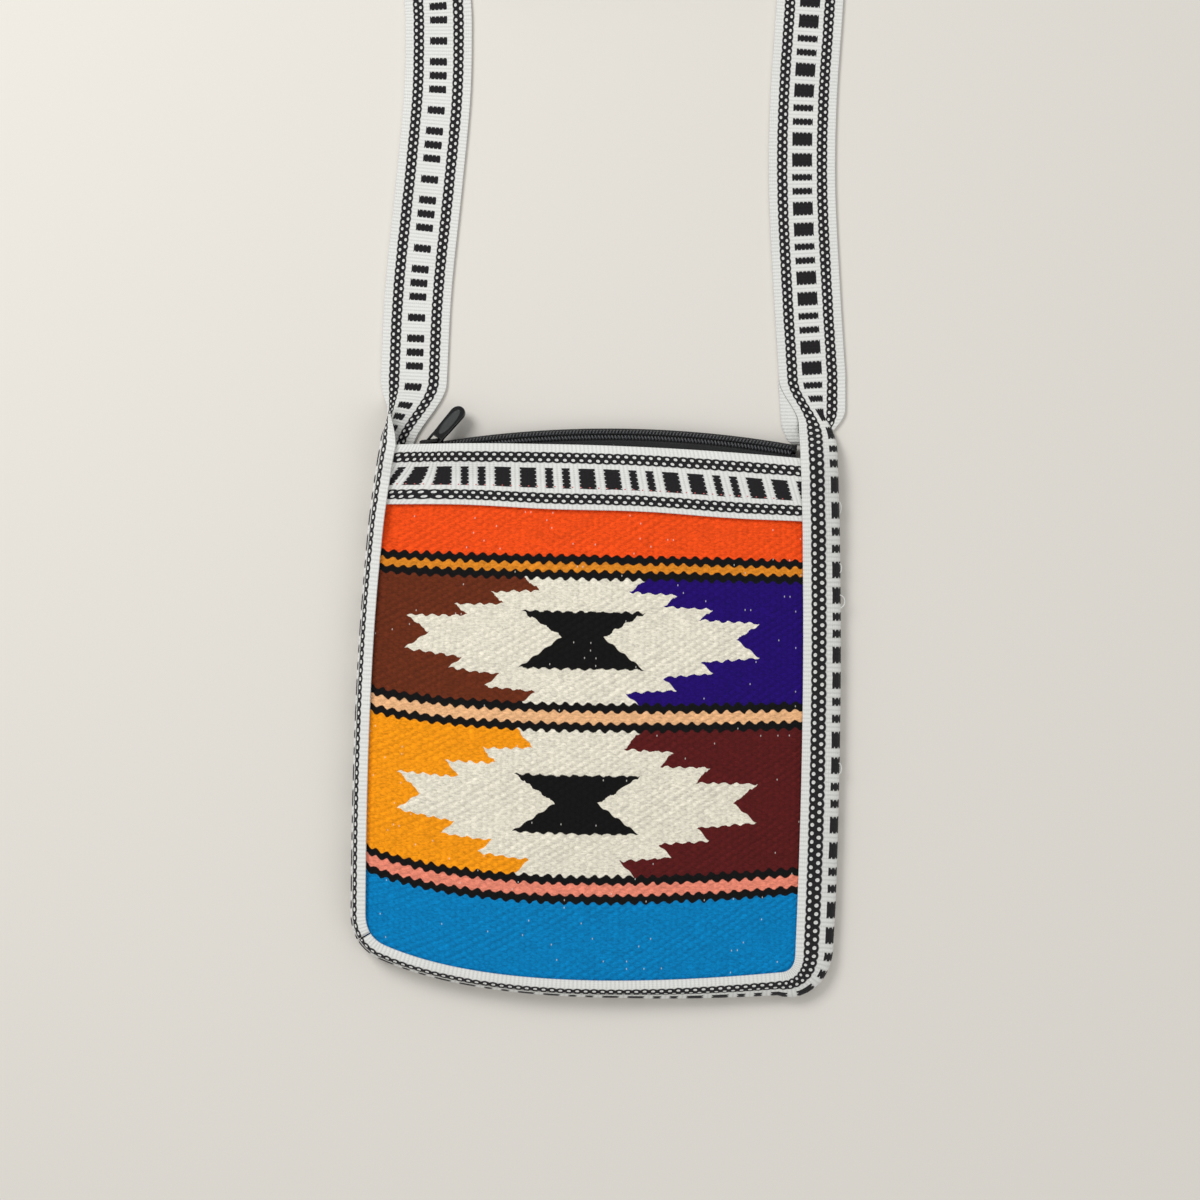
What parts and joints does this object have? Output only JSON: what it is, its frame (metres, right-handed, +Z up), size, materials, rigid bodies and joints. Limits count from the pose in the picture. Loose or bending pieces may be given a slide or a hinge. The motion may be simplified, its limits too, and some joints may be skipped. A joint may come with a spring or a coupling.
{
  "type": "woven crossbody bag",
  "caption": "Small flat zip-top crossbody bag: woven wool panels, patterned top bands, and one long woven band that is both gusset and shoulder strap, lying on its back.",
  "frame": {"origin": "on the surface that the bag lies on, under the middle of its back", "axes": "+X to the right as seen from above the front, +Y from the base towards the zip and the strap, +Z up, out of the front"},
  "size_m": [0.2242, 0.5008, 0.0211],
  "materials": {
    "wool_panel": "weft-faced woven wool in stripes and stepped motifs",
    "woven_band": "ribbed black and white woven band",
    "zip_tape": "fine black twill tape",
    "zip_coil": "satin black nylon coil",
    "zip_slider": "gloss black"
  },
  "bodies": {
    "bag": {"front_panel": "wool_panel", "back_panel": "wool_panel", "front_top_band": "woven_band", "back_top_band": "woven_band", "strap_band": "woven_band", "zip_tape_front": "zip_tape", "zip_tape_back": "zip_tape", "zip_coil_front": "zip_coil", "zip_coil_back": "zip_coil"},
    "slider": {"slider_body": "zip_slider"},
    "tab": {"pull_tab": "zip_slider"}
  },
  "joints": [
    {"name": "zip_travel", "type": "hinge", "parent": "bag", "child": "slider", "pos_m": [0.00475, -0.35633, 0.0075], "axis": [0, 0, -1], "range_deg": [0, 18]},
    {"name": "tab_swing", "type": "hinge", "parent": "slider", "child": "tab", "pos_m": [-0.07449, 0.12205, 0.01104], "axis": [0.7313, -0.4729, 0.4914], "range_deg": [0, 90]}
  ]
}
